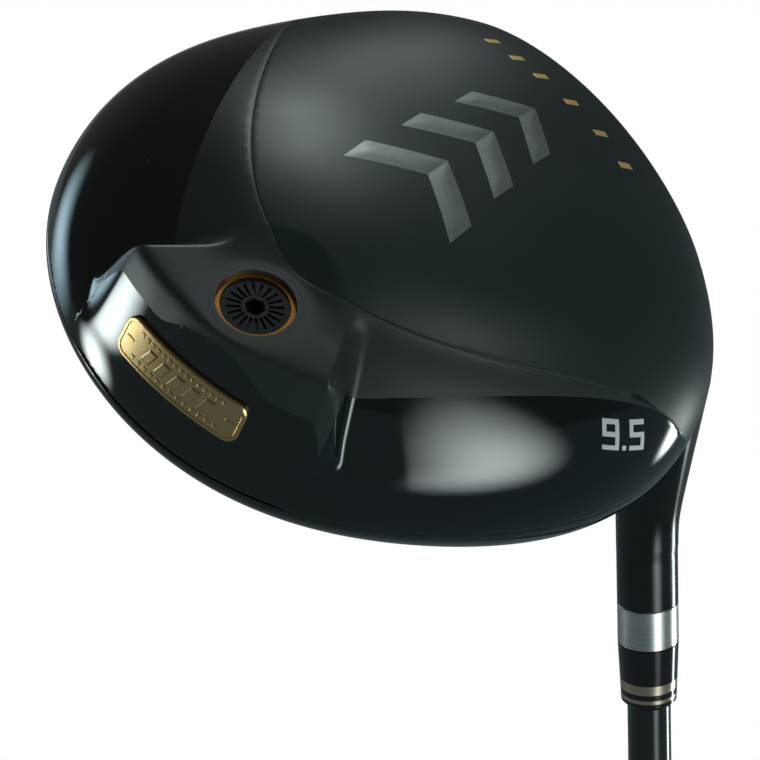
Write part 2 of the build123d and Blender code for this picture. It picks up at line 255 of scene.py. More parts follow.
    def to_row(self, points: np.ndarray) -> np.ndarray:
        """Head points in millimetres as row points in metres.

        Args:
            points: Rows of x, y, z in the head frame.

        Returns:
            Rows of x, y, z in the row frame, in metres.
        """
        s, c = math.sin(self.lie), math.cos(self.lie)
        x = points[..., 0] - self.axis_x
        y = self.axis_y - points[..., 1]
        z = points[..., 2]
        return np.stack([x * s + z * c, y, x * c - z * s + self.club_length], axis=-1) * MM

    def to_head(self, points: np.ndarray) -> np.ndarray:
        """Row points in millimetres as head points in millimetres.

        Args:
            points: Rows of x, y, z in the row frame.

        Returns:
            Rows of x, y, z in the head frame.
        """
        s, c = math.sin(self.lie), math.cos(self.lie)
        x = points[..., 0]
        z = points[..., 2] - self.club_length
        return np.stack([x * s + z * c + self.axis_x, self.axis_y - points[..., 1], x * c - z * s], axis=-1)

    def ball_gap(self, points: np.ndarray) -> np.ndarray:
        """Share by which head points lie outside the plain round head.

        Args:
            points: Rows of x, y, z in the head frame.

        Returns:
            The share for each point, negative inside.
        """
        x, y, z = points[..., 0], points[..., 1], points[..., 2]
        turn = np.arctan2(y - self.centre_y, x)
        reach = np.hypot(x, y - self.centre_y) / self.outline(turn)
        rim = self.rim_level(x, y)
        lean = 1 + self.crown_forward * np.minimum(reach, 1) * np.sin(turn)
        above = (z - rim) / ((self.crown - rim) * lean)
        below = 1 - np.clip(z / rim, 0, None) ** (1 / self.roundness)
        return np.hypot(reach, np.where(z > rim, above, below)) - 1


HEAD = HeadForm()


def slope(field: Callable[[np.ndarray], np.ndarray], points: np.ndarray) -> np.ndarray:
    """Gradient of a field at each point.

    Args:
        field: Rule that gives each point a value.
        points: Rows of three coordinates.

    Returns:
        The gradient, with one row for each point.
    """
    step = 0.01
    parts = []
    for axis in np.eye(3) * step:
        parts.append((field(points + axis) - field(points - axis)) / (2 * step))
    return np.stack(parts, axis=-1)


# ---------------------------------------------------------------- small tools
def clear_selection() -> None:
    """Leave edit mode and deselect everything."""
    if bpy.context.object and bpy.context.object.mode != "OBJECT":
        bpy.ops.object.mode_set(mode="OBJECT")
    bpy.ops.object.select_all(action="DESELECT")


def pick(piece: bpy.types.Object) -> None:
    """Make one piece the only selected and active one.

    Args:
        piece: The piece to select.
    """
    clear_selection()
    piece.select_set(True)
    bpy.context.view_layer.objects.active = piece


def apply_modifier(piece: bpy.types.Object, kind: str, **settings: object) -> None:
    """Add a modifier to a piece and apply it.

    Args:
        piece: The piece.
        kind: Modifier type.
        settings: Attributes of the modifier.
    """
    pick(piece)
    modifier = piece.modifiers.new(kind.lower(), kind)
    for key, value in settings.items():
        setattr(modifier, key, value)
    bpy.ops.object.modifier_apply(modifier=modifier.name)


def mesh_piece(name: str, points: np.ndarray, faces: Sequence[Sequence[int]]) -> bpy.types.Object:
    """New piece from row points in metres and faces that wind outwards.

    Args:
        name: Name of the piece.
        points: Rows of x, y, z in the row frame, in metres.
        faces: Corner numbers of each face.

    Returns:
        The new piece.
    """
    mesh = bpy.data.meshes.new(name)
    mesh.from_pydata([tuple(map(float, p)) for p in points], [], faces)
    mesh.validate()
    piece = bpy.data.objects.new(name, mesh)
    bpy.context.collection.objects.link(piece)
    return piece


def soften(piece: bpy.types.Object, degrees: float) -> None:
    """Smooth shading, but for edges sharper than an angle."""
    pick(piece)
    bpy.ops.object.shade_smooth_by_angle(angle=math.radians(degrees))


def wrap(piece: bpy.types.Object, place: Callable[[np.ndarray], np.ndarray]) -> None:
    """Move a piece's points, in local millimetres, to where a rule puts them in the row.

    Args:
        piece: The piece.
        place: Rule from local points to row points.
    """
    mesh = piece.data
    flat = np.empty(len(mesh.vertices) * 3)
    mesh.vertices.foreach_get("co", flat)
    mesh.vertices.foreach_set("co", place(flat.reshape(-1, 3)).ravel())
    mesh.update()


def join(pieces: Sequence[bpy.types.Object], name: str) -> bpy.types.Object:
    """Join pieces into one with a name.

    Args:
        pieces: Pieces to join; the first one stays.
        name: Name of the result.

    Returns:
        The joined piece.
    """
    clear_selection()
    for piece in pieces:
        piece.select_set(True)
    bpy.context.view_layer.objects.active = pieces[0]
    bpy.ops.object.join()
    pieces[0].name = name
    return pieces[0]


def raised_plate(corners: Sequence[Plan], height: float, chamfer: float, cuts: int) -> bpy.types.Object:
    """Flat plate with a sloped edge, its underside a little sunk.

    Args:
        corners: Four outline corners in local millimetres, anticlockwise.
        height: How far its top stands up.
        chamfer: Width of the sloped edge.
        cuts: Number of cuts each way, so that it can be wrapped.

    Returns:
        The plate, in local millimetres.
    """
    clear_selection()
    bpy.ops.mesh.primitive_plane_add(size=1)
    piece = bpy.context.object
    order = sorted(piece.data.vertices, key=lambda v: math.atan2(v.co.y, v.co.x))
    for vertex, corner in zip(order, corners):
        vertex.co = (*corner, -0.15)
    bpy.ops.object.mode_set(mode="EDIT")
    bpy.ops.mesh.select_all(action="SELECT")
    bpy.ops.mesh.extrude_region_move(TRANSFORM_OT_translate={"value": (0, 0, 0.15 + height * 0.3)})
    bpy.ops.mesh.inset(thickness=chamfer, depth=0, use_even_offset=True)
    bpy.ops.transform.translate(value=(0, 0, height * 0.7))
    bpy.ops.mesh.select_all(action="SELECT")
    bpy.ops.mesh.subdivide(number_cuts=cuts)
    bpy.ops.mesh.normals_make_consistent(inside=False)
    bpy.ops.object.mode_set(mode="OBJECT")
    return piece


# ---------------------------------------------------------------- materials
class Graph:
    """Adds and links the nodes of one tree."""

    def __init__(self, tree: bpy.types.NodeTree) -> None:
        """Keep the tree."""
        self.tree = tree

    def add(self, kind: str, sockets: dict | None = None, **settings: object) -> bpy.types.Node:
        """Add a node.

        Args:
            kind: Node type.
            sockets: Input name or number to a value or an output to link.
            settings: Attributes of the node.

        Returns:
            The new node.
        """
        node = self.tree.nodes.new(kind)
        for key, value in settings.items():
            setattr(node, key, value)
        for key, value in (sockets or {}).items():
            if isinstance(value, bpy.types.NodeSocket):
                self.tree.links.new(value, node.inputs[key])
            else:
                node.inputs[key].default_value = value
        return node

    def math(self, operation: str, *values: object) -> bpy.types.NodeSocket:
        """Output of a math node on two or three values."""
        node = self.add("ShaderNodeMath", dict(enumerate(values)), operation=operation)
        return node.outputs[0]

    def step(self, value: object, low: float, high: float) -> bpy.types.NodeSocket:
        """Smooth step from 0 at low to 1 at high.

        Args:
            value: Value or output to map.
            low: Value at the foot of the step.
            high: Value at its top.

        Returns:
            The mapped value.
        """
        sockets = {"Value": value, "From Min": low, "From Max": high}
        node = self.add("ShaderNodeMapRange", sockets, interpolation_type="SMOOTHSTEP")
        return node.outputs["Result"]

    def span(self, value: object, low: float, high: float) -> bpy.types.NodeSocket:
        """A 0 to 1 value stretched from low to high."""
        sockets = {"Value": value, "To Min": low, "To Max": high}
        return self.add("ShaderNodeMapRange", sockets).outputs["Result"]

    def blend(self, share: object, first: object, second: object) -> bpy.types.NodeSocket:
        """Colour mixed from first to second.

        Args:
            share: 0 for the first, 1 for the second.
            first: Colour or output.
            second: Colour or output.

        Returns:
            The mixed colour.
        """
        node = self.add("ShaderNodeMix", data_type="RGBA")
        for socket, value in zip((node.inputs[0], node.inputs[6], node.inputs[7]), (share, first, second)):
            if isinstance(value, bpy.types.NodeSocket):
                self.tree.links.new(value, socket)
            else:
                socket.default_value = (*value, 1) if isinstance(value, tuple) else value
        return node.outputs[2]


def new_group(
    name: str, inputs: dict[str, str], outputs: dict[str, str]
) -> tuple[Graph, bpy.types.Node, bpy.types.Node]:
    """Empty shader group with named sockets, each a Vector or a Float.

    Args:
        name: Name of the group.
        inputs: Name and kind of each input.
        outputs: Name and kind of each output.

    Returns:
        The graph, its input node and its output node.
    """
    tree = bpy.data.node_groups.new(name, "ShaderNodeTree")
    for way, sockets in (("INPUT", inputs), ("OUTPUT", outputs)):
        for label, kind in sockets.items():
            tree.interface.new_socket(label, in_out=way, socket_type="NodeSocket" + kind)
    graph = Graph(tree)
    return graph, graph.add("NodeGroupInput"), graph.add("NodeGroupOutput")


class Effects:
    """Shader groups that several finishes share."""

    def __init__(self) -> None:
        """Build every group once."""
        self.peel = self._peel()
        self.handling = self._handling()
        self.brushing = self._brushing()
        self.heel_paint = self._heel_paint()

    @staticmethod
    def _peel() -> bpy.types.NodeTree:
        """Slow ripple and fine tooth of sprayed lacquer.

        Returns:
            The group, which gives a height.
        """
        graph, entry, result = new_group(
            "lacquer_peel", {"Place": "Vector", "Ripple": "Float", "Tooth": "Float"}, {"Height": "Float"}
        )
        place, ripple, tooth = (entry.outputs[number] for number in range(3))
        slow = graph.add("ShaderNodeTexNoise", {"Vector": place, "Scale": ripple, "Detail": 1.0})
        fine = graph.add("ShaderNodeTexNoise", {"Vector": place, "Scale": tooth, "Detail": 2.0})
        height = graph.math("MULTIPLY_ADD", fine.outputs[0], 0.35, slow.outputs[0])
        graph.tree.links.new(height, result.inputs[0])
        return graph.tree

    @staticmethod
    def _handling() -> bpy.types.NodeTree:
        """Wiped smudges and a few dust specks.

        Returns:
            The group, which gives a smudge mask and a dust mask.
        """
        graph, entry, result = new_group(
            "handling", {"Place": "Vector", "Smudge Scale": "Float"}, {"Smudge": "Float", "Dust": "Float"}
        )
        cloud = graph.add(
            "ShaderNodeTexNoise",
            {"Vector": entry.outputs[0], "Scale": entry.outputs[1], "Detail": 4.0, "Distortion": 0.6},
        )
        specks = graph.add("ShaderNodeTexVoronoi", {"Vector": entry.outputs[0], "Scale": 420.0})
        size = graph.add("ShaderNodeTexNoise", {"Vector": entry.outputs[0], "Scale": 160.0})
        limit = graph.math("MULTIPLY", graph.step(size.outputs[0], 0.62, 0.8), 0.16)
        near = graph.math("LESS_THAN", specks.outputs["Distance"], limit)
        graph.tree.links.new(graph.step(cloud.outputs[0], 0.3, 0.75), result.inputs[0])
        graph.tree.links.new(near, result.inputs[1])
        return graph.tree

    @staticmethod
    def _brushing() -> bpy.types.NodeTree:
        """Fine lines along one way, as a height and a mask.

        Returns:
            The group.
        """
        graph, entry, result = new_group(
            "brushing", {"Place": "Vector", "Stretch": "Vector"}, {"Height": "Float", "Lines": "Float"}
        )
        pulled = graph.add(
            "ShaderNodeVectorMath", {0: entry.outputs[0], 1: entry.outputs[1]}, operation="MULTIPLY"
        )
        lines = graph.add("ShaderNodeTexNoise", {"Vector": pulled.outputs[0], "Scale": 1.0, "Detail": 3.0})
        graph.tree.links.new(lines.outputs[0], result.inputs[0])
        graph.tree.links.new(graph.step(lines.outputs[0], 0.35, 0.65), result.inputs[1])
        return graph.tree

    @staticmethod
    def _heel_paint() -> bpy.types.NodeTree:
        """Mask that is 1 where the gloss paint of the neck runs onto the head.

        Its edge is a plane across the shaft's axis, cut off at the heel end of the sole's panel.

        Returns:
            The group.
        """
        lean, start, heel_end, corner, feather = 1.03, -79.9, -52.6, 2.0, 0.06
        graph, entry, result = new_group("heel_paint", {"Place": "Vector"}, {"Gloss": "Float"})
        split = graph.add("ShaderNodeSeparateXYZ", {0: entry.outputs[0]})
        row_x, row_y, row_z = split.outputs
        up = graph.math("SUBTRACT", HEAD.club_length * MM, row_z)
        head_y = graph.math("SUBTRACT", HEAD.axis_y * MM, row_y)
        behind = graph.math("SUBTRACT", graph.math("MULTIPLY_ADD", up, lean, start * MM), head_y)
        across = graph.math("MULTIPLY", row_x, math.sin(HEAD.lie))
        fall = graph.math("MULTIPLY", up, math.cos(HEAD.lie))
        head_x = graph.math("SUBTRACT", graph.math("SUBTRACT", across, fall), -HEAD.axis_x * MM)
        heelward = graph.math("SUBTRACT", heel_end * MM, head_x)
        edge = graph.math("SMOOTH_MIN", behind, heelward, corner * MM)
        graph.tree.links.new(graph.step(edge, -feather * MM, feather * MM), result.inputs[0])
        return graph.tree


class Texture(Enum):
    """What gives a finish its small relief."""

    PEEL = "lacquer"
    BRUSHED = "brushed"
    GRAIN = "moulded grain"


@dataclass(frozen=True)
class Finish:
    """One even finish and the small changes over its surface."""

    name: str
    colour: Colour
    second: Colour
    roughness: tuple[float, float] = (0.3, 0.4)
    metallic: float = 0.0
    coat: float = 0.0
    coat_roughness: float = 0.05
    texture: Texture = Texture.PEEL
    scale: float = 500.0
    relief: float = 0.02
    stretch: Point = (60.0, 60.0, 9000.0)

    def build(self, effects: Effects) -> bpy.types.Material:
        """Make the material.

        Args:
            effects: Shared shader groups.

        Returns:
            The material.
        """
        material = bpy.data.materials.new(self.name)
        material.use_nodes = True
        graph = Graph(material.node_tree)
        shader = material.node_tree.nodes["Principled BSDF"]
        place = graph.add("ShaderNodeTexCoord").outputs["Object"]
        handling = graph.add("ShaderNodeGroup", node_tree=effects.handling)
        handling.inputs["Smudge Scale"].default_value = SMUDGE_SCALE
        material.node_tree.links.new(place, handling.inputs["Place"])
        height, tint = self.surface(graph, effects, place)
        smudge = handling.outputs["Smudge"]
        colour = graph.blend(tint, self.colour, self.second)
        dusty = graph.math("MULTIPLY", handling.outputs["Dust"], DUST_SHARE)
        colour = graph.blend(dusty, colour, DUST_COLOUR)
        links = material.node_tree.links
        links.new(colour, shader.inputs["Base Color"])
        links.new(graph.span(smudge, *self.roughness), shader.inputs["Roughness"])
        bump = graph.add("ShaderNodeBump", {"Height": height, "Distance": self.relief * MM, "Strength": 1.0})
        links.new(bump.outputs[0], shader.inputs["Normal"])
        shader.inputs["Metallic"].default_value = self.metallic
        shader.inputs["Coat Weight"].default_value = self.coat
        shader.inputs["Coat Roughness"].default_value = self.coat_roughness
        return material

    def surface(self, graph: Graph, effects: Effects, place: bpy.types.NodeSocket) -> tuple:
        """Height of the small relief, and the mask that tints it.

        Args:
            graph: Graph of the material being made.
            effects: Shared shader groups.
            place: Object coordinates.

        Returns:
            The height and the mask.
        """
        if self.texture is Texture.BRUSHED:
            node = graph.add("ShaderNodeGroup", {}, node_tree=effects.brushing)
            node.inputs["Stretch"].default_value = self.stretch
            graph.tree.links.new(place, node.inputs["Place"])
            return node.outputs["Height"], node.outputs["Lines"]
        if self.texture is Texture.GRAIN:
            cells = graph.add("ShaderNodeTexVoronoi", {"Vector": place, "Scale": self.scale})
            return cells.outputs["Distance"], graph.step(cells.outputs["Distance"], 0.2, 0.7)
        node = graph.add("ShaderNodeGroup", {}, node_tree=effects.peel)
        node.inputs["Ripple"].default_value = self.scale
        node.inputs["Tooth"].default_value = self.scale * 6
        graph.tree.links.new(place, node.inputs["Place"])
        wide = graph.add("ShaderNodeTexNoise", {"Vector": place, "Scale": 18.0, "Detail": 2.0})
        return node.outputs["Height"], graph.step(wide.outputs[0], 0.3, 0.7)


@dataclass(frozen=True)
class TwoTone:
    """Satin lacquer that turns to gloss black at the heel, on the neck and over the crown."""

    name: str
    satin: Colour = (0.012, 0.022, 0.022)
    satin_second: Colour = (0.015, 0.026, 0.026)
    gloss: Colour = (0.002, 0.0055, 0.0055)
    satin_roughness: tuple[float, float] = (0.36, 0.42)
    gloss_roughness: float = 0.15

    def build(self, effects: Effects) -> bpy.types.Material:
        """Make the material.

        Args:
            effects: Shared shader groups.

        Returns:
            The material.
        """
        material = bpy.data.materials.new(self.name)
        material.use_nodes = True
        graph = Graph(material.node_tree)
        links = material.node_tree.links
        shader = material.node_tree.nodes["Principled BSDF"]
        place = graph.add("ShaderNodeTexCoord").outputs["Object"]
        paint = graph.add("ShaderNodeGroup", {}, node_tree=effects.heel_paint)
        handling = graph.add("ShaderNodeGroup", {}, node_tree=effects.handling)
        handling.inputs["Smudge Scale"].default_value = SMUDGE_SCALE
        peel = graph.add("ShaderNodeGroup", {}, node_tree=effects.peel)
        peel.inputs["Ripple"].default_value = 260.0
        peel.inputs["Tooth"].default_value = 2600.0
        for node in (paint, handling, peel):
            links.new(place, node.inputs["Place"])
        mask = self.mask(graph, place, paint.outputs["Gloss"])
        wide = graph.add("ShaderNodeTexNoise", {"Vector": place, "Scale": 18.0, "Detail": 2.0})
        satin = graph.blend(wide.outputs[0], self.satin, self.satin_second)
        links.new(graph.blend(mask, satin, self.gloss), shader.inputs["Base Color"])
        soft = graph.span(handling.outputs["Smudge"], *self.satin_roughness)
        hard = graph.span(handling.outputs["Smudge"], self.gloss_roughness, self.gloss_roughness * 1.5)
        split = graph.add("ShaderNodeMix", {0: mask, 2: soft, 3: hard}, data_type="FLOAT")
        links.new(split.outputs[0], shader.inputs["Roughness"])
        links.new(graph.math("MULTIPLY", mask, 0.3), shader.inputs["Coat Weight"])
        bump = graph.add("ShaderNodeBump", {"Height": peel.outputs["Height"], "Distance": 0.004 * MM})
        links.new(bump.outputs[0], shader.inputs["Normal"])
        shader.inputs["Coat Roughness"].default_value = 0.1
        return material

    def mask(
        self, graph: Graph, place: bpy.types.NodeSocket, heel: bpy.types.NodeSocket
    ) -> bpy.types.NodeSocket:
        """1 where the surface is gloss black: the heel's paint, and all above the rim.

        Args:
            graph: Graph of the material being made.
            place: Object coordinates.
            heel: Mask of the heel's gloss paint.

        Returns:
            The joined mask.
        """
        split = graph.add("ShaderNodeSeparateXYZ", {0: place})
        down = graph.math("SUBTRACT", HEAD.club_length * MM, split.outputs[2])
        lift = graph.math("MULTIPLY", split.outputs[0], math.cos(HEAD.lie))
        height = graph.math("MULTIPLY_ADD", down, math.sin(HEAD.lie), lift)
        head_y = graph.math("SUBTRACT", HEAD.axis_y * MM, split.outputs[1])
        back = graph.math("SUBTRACT", HEAD.centre_y * MM, head_y)
        rise = HEAD.rim_rise_back / HEAD.radius
        rim = graph.math("MULTIPLY_ADD", back, rise, HEAD.rim * MM)
        crown = graph.step(graph.math("SUBTRACT", height, rim), -0.1 * MM, 0.1 * MM)
        return graph.math("MAXIMUM", crown, heel)


FINISH_LIST = (
    TwoTone("satin_grey"),
    TwoTone("face_metal"),
    Finish("keel_grey", (0.021, 0.030, 0.029), (0.026, 0.035, 0.033), (0.34, 0.42), relief=0.004),
    Finish(
        "gloss_black", (0.002, 0.0055, 0.006), (0.003, 0.007, 0.0075), (0.06, 0.1), 0.0, 0.6, 0.03,
        scale=260.0, relief=0.002,
    ),
    Finish("gold", (0.62, 0.44, 0.2), (0.7, 0.5, 0.24), (0.28, 0.36), 1.0, scale=900.0, relief=0.01),
    Finish(
        "copper", (0.75, 0.32, 0.07), (0.85, 0.4, 0.1), (0.2, 0.28), 1.0, 0.3,
        texture=Texture.BRUSHED, relief=0.004, stretch=(9000.0, 9000.0, 9000.0),
    ),
    Finish(
        "screw_black", (0.012, 0.014, 0.016), (0.02, 0.022, 0.025), (0.25, 0.35), 0.6, relief=0.004,
    ),
    Finish(
        "silver", (0.55, 0.55, 0.55), (0.72, 0.72, 0.72), (0.24, 0.34), 1.0,
        texture=Texture.BRUSHED, relief=0.006, stretch=(60.0, 60.0, 16000.0),
    ),
    Finish("champagne", (0.62, 0.52, 0.38), (0.7, 0.6, 0.45), (0.22, 0.3), 1.0, relief=0.003),
    Finish(
        "ferrule_black", (0.006, 0.006, 0.007), (0.008, 0.008, 0.009), (0.12, 0.18), 0.0, 0.4, relief=0.002,
    ),
    Finish(
        "graphite", (0.006, 0.008, 0.01), (0.012, 0.014, 0.016), (0.14, 0.2), 0.0, 0.7, 0.05, relief=0.002,
    ),
    Finish(
        "grip_rubber", (0.012, 0.012, 0.013), (0.02, 0.02, 0.021), (0.6, 0.75),
        texture=Texture.GRAIN, scale=1400.0, relief=0.08,
    ),
    Finish(
        "emblem_silver", (0.22, 0.245, 0.235), (0.25, 0.275, 0.265), (0.42, 0.5), 0.7,
        texture=Texture.BRUSHED, relief=0.003, stretch=(2500.0, 300.0, 2500.0),
    ),
    Finish("mark_gold", (0.8, 0.56, 0.2), (0.85, 0.6, 0.22), (0.4, 0.46), 0.5, relief=0.003),
    Finish("white_ink", (0.72, 0.74, 0.75), (0.66, 0.68, 0.7), (0.4, 0.5), relief=0.003),
    Finish("raw_metal", (0.3, 0.3, 0.3), (0.36, 0.36, 0.35), (0.35, 0.5), 1.0, relief=0.01),
    Finish("pale_fill", (0.5, 0.45, 0.35), (0.56, 0.5, 0.4), (0.4, 0.5), relief=0.02),
)

FINISHES = {finish.name: finish for finish in FINISH_LIST}

NODE_FINISH = {
    "face_cup": "face_metal",
    "badge_tape": "ferrule_black",
    "sole_badge": "gold",
    "sole_rib_toe": "raw_metal",
    "sole_rib_heel": "raw_metal",
    "crown_rib": "raw_metal",
    "glue_pad": "pale_fill",
    "port_insert": "keel_grey",
    "port_ring": "copper",
    "port_seal": "ferrule_black",
    "weight_screw": "screw_black",
    "weight_slug": "raw_metal",
    "hosel_sleeve": "raw_metal",
    "hosel_ring": "silver",
    "ferrule": "ferrule_black",
    "ferrule_band_wide": "champagne",
    "ferrule_band_thin": "champagne",
    "shaft": "graphite",
    "shaft_glue": "pale_fill",
    "tip_plug": "raw_metal",
    "grip_tape": "ferrule_black",
    "grip_cap": "grip_rubber",
}


@dataclass
class PaintShop:
    """Holds the built materials and puts them on pieces."""

    effects: Effects
    made: dict[str, bpy.types.Material]

    def material(self, name: str) -> bpy.types.Material:
        """A finish's material, made the first time it is asked for.

        Args:
            name: Name of the finish.

        Returns:
            The material.
        """
        if name not in self.made:
            self.made[name] = FINISHES[name].build(self.effects)
        return self.made[name]

    def dress(self, piece: bpy.types.Object, name: str) -> None:
        """Give a piece one finish all over."""
        piece.data.materials.clear()
        piece.data.materials.append(self.material(name))


# ---------------------------------------------------------------- head shells
@dataclass
class HeadShells:
    """The thin shells of the head, lifted from the formula and cut into their zones."""

    wall: float = 1.2
    spacing: float = 0.02
    fine_spacing: float = 0.0085
    groove_half: float = 0.3
    groove_depth: float = 0.07
    port_hole: float = 8.13
    rim_tilt: float = math.pi / 2
    fine_side: float = 14.0
    fine_start: float = -78.0
    block_ends: tuple[float, float] = (-84.0, -114.0)

    def curve_angles(self, x: np.ndarray, y: np.ndarray) -> np.ndarray:
        """Angle pairs of the part of a plan curve that lies on the head.

        Args:
            x: Plan places towards the toe, in millimetres.
            y: Plan places towards the target.

        Returns:
            Rows of u, v.
        """
        turn = np.arctan2(y - HEAD.centre_y, x)
        inside = np.hypot(x, y - HEAD.centre_y) < HEAD.outline(turn) * 0.9999
        return HEAD.angles(x[inside], y[inside])

    def cup_line(self, lift: Lift) -> np.ndarray:
        """Angle pairs where a dome meets the face cup.

        Args:
            lift: Rule that lifts angle pairs to head points.

        Returns:
            Rows of u, v, from the toe round to the heel.
        """
        found = []
        for turn in np.radians(np.linspace(20, 160, 240)):
            tilts = np.linspace(0.5, self.rim_tilt, 600)
            u, v = tilts * math.cos(turn), tilts * math.sin(turn)
            past = np.nonzero(HEAD.ahead(lift(u, v)) > 0)[0]
            if len(past):
                found.append((u[past[0]], v[past[0]]))
        return np.array(found)

    def port_ring(self) -> np.ndarray:
        """Angle pairs round the weight port's hole.

        Returns:
            Rows of u, v of a closed ring.
        """
        turn = np.linspace(0, 2 * math.pi, 97)
        lean = 1 / math.hypot(1, HEAD.keel_slope)
        x = HEAD.port[0] + self.port_hole * np.cos(turn)
        y = HEAD.port[1] + self.port_hole * lean * np.sin(turn)
        return HEAD.angles(x, y)

    def keel_lines(self) -> list[np.ndarray]:
        """Angle pairs of the keel plate's outline, away from the panel.

        Returns:
            One array of u, v for each line.
        """
        x = np.linspace(-70, 70, 420)
        band = HEAD.band_line(x)
        inside = np.sin(np.linalg.norm(HEAD.angles(x, band), axis=1)) < HEAD.keel_share
        outside = (HEAD.keel_side(x, band) > HEAD.keel_trim) & inside
        lines = []
        for side in (-1, 1):
            chosen = outside & (np.sign(x - HEAD.keel_x) == side)
            lines.append(self.curve_angles(x[chosen], band[chosen]))
        turn = np.linspace(-math.pi, 0, 300)
        reach = HEAD.keel_share * HEAD.outline(turn)
        lines.append(self.curve_angles(reach * np.cos(turn), HEAD.centre_y + reach * np.sin(turn)))
        y = np.linspace(*self.block_ends, 60)
        half = HEAD.keel_half(y) + HEAD.keel_trim
        lines.append(self.curve_angles(HEAD.keel_x - half, y))
        lines.append(self.curve_angles(HEAD.keel_x + half, y))
        return lines

    def rings(self) -> list[np.ndarray]:
        """Closed rings at the rim and just inside it.

        Returns:
            Two arrays of u, v.
        """
        turn = np.linspace(0, 2 * math.pi, 361)
        inner = self.rim_tilt - self.groove_half / HEAD.rim
        return [np.stack([t * np.cos(turn), t * np.sin(turn)], axis=-1) for t in (self.rim_tilt, inner)]

    def map_mesh(self, lines: list[np.ndarray], fine: bool) -> tuple[np.ndarray, np.ndarray]:
        """Triangles of the angle map that keep to lines.

        Args:
            lines: Polylines of angle pairs that the triangles' edges follow.
            fine: Whether the keel gets a finer grid.

        Returns:
            The angle pairs, and rows of three of their numbers, anticlockwise in the map.
        """
        grids = [self.hex_grid(self.spacing)]
        if fine:
            grids = [g[~self.near_keel(g)] for g in grids]
            close = self.hex_grid(self.fine_spacing)
            grids.append(close[self.near_keel(close)])
        tree = kdtree.KDTree(sum(len(line) for line in lines))
        number = 0
        for line in lines:
            for u, v in line:
                tree.insert((u, v, 0), number)
                number += 1
        tree.balance()
        points: list[tuple[float, float]] = []
        edges: list[tuple[int, int]] = []
        for line in lines:
            start = len(points)
            points.extend(map(tuple, line))
            edges.extend((start + i, start + i + 1) for i in range(len(line) - 1))
        for grid, room in zip(grids, (self.spacing, self.fine_spacing)):
            for u, v in grid:
                if tree.find((u, v, 0))[2] > 0.45 * room:
                    points.append((u, v))
        flat = [Vector(p) for p in points]
        found, _, faces, _, _, _ = delaunay_2d_cdt(flat, edges, [], 0, 1e-5)
        angles = np.array([tuple(p) for p in found])
        triangles = np.array([f for f in faces if len(f) == 3])
        first, second, third = (angles[triangles[:, k]] for k in range(3))
        away, across = second - first, third - first
        turned = away[:, 0] * across[:, 1] < away[:, 1] * across[:, 0]
        triangles[turned] = triangles[turned][:, ::-1]
        return angles, triangles

    def hex_grid(self, room: float) -> np.ndarray:
        """Even triangular grid of angle pairs inside the rim.

        Args:
            room: Distance between neighbours, in radians.

        Returns:
            Rows of u, v.
        """
        rows = np.arange(-self.rim_tilt, self.rim_tilt, room * math.sqrt(3) / 2)
        points = []
        for number, v in enumerate(rows):
            shift = room / 2 * (number % 2)
            u = np.arange(-self.rim_tilt, self.rim_tilt, room) + shift
            points.append(np.stack([u, np.full_like(u, v)], axis=-1))
        grid = np.concatenate(points)
        return grid[np.hypot(grid[:, 0], grid[:, 1]) < self.rim_tilt - room * 0.4]

    def near_keel(self, grid: np.ndarray) -> np.ndarray:
        """Whether each angle pair is on or close beside the keel block."""
        _, _, x, y = HEAD.plan_place(grid[:, 0], grid[:, 1])
        return (HEAD.keel_side(x, y) < self.fine_side) & (y < self.fine_start)

    def lift_points(self, angles: np.ndarray, lift: Lift, below: bool) -> np.ndarray:
        """Head points of angle pairs on the sole below or the crown, with the seams sunk a little.

        Args:
            angles: Angle pairs, one row each.
            lift: Rule that lifts angle pairs to head points.
            below: Whether they are on the sole, below, or on the crown.

        Returns:
            Rows of x, y, z in the head frame.
        """
        u, v = angles[:, 0], angles[:, 1]
        points = lift(u, v)
        step = 1e-3
        along = lift(u + step, v) - lift(u - step, v)
        across = lift(u, v + step) - lift(u, v - step)
        normal = np.cross(across, along) if below else np.cross(along, across)
        normal /= np.maximum(np.linalg.norm(normal, axis=1), 1e-9)[:, None]
        sunk = np.abs(np.hypot(u, v) - self.rim_tilt) < 1e-4
        if below:
            x, y = points[:, 0], points[:, 1]
            steep = np.hypot(1, 2 * HEAD.panel_curve * (x - HEAD.zone_x))
            sunk |= np.abs(y - HEAD.panel_line(x)) / steep < 0.06
        return points - normal * (sunk * self.groove_depth)[:, None]

    def zone_piece(self, name: str, points: np.ndarray, faces: np.ndarray, below: bool) -> bpy.types.Object:
        """Closed shell from some of the triangles of the sole below or of the crown.

        Args:
            name: Name of the piece.
            points: Rows of x, y, z in the head frame.
            faces: Rows of three point numbers.
            below: Whether they are on the sole, below, or on the crown.

        Returns:
            The piece, with its wall on the inside.
        """
        used, flat = np.unique(faces, return_inverse=True)
        faces = flat.reshape(-1, 3)
        faces = faces[:, ::-1] if below else faces
        kept = points[used]
        piece = mesh_piece(name, HEAD.to_row(kept), faces.tolist())
        apply_modifier(piece, "SOLIDIFY", thickness=self.wall * MM, offset=-1.0)
        soften(piece, 50)
        return piece

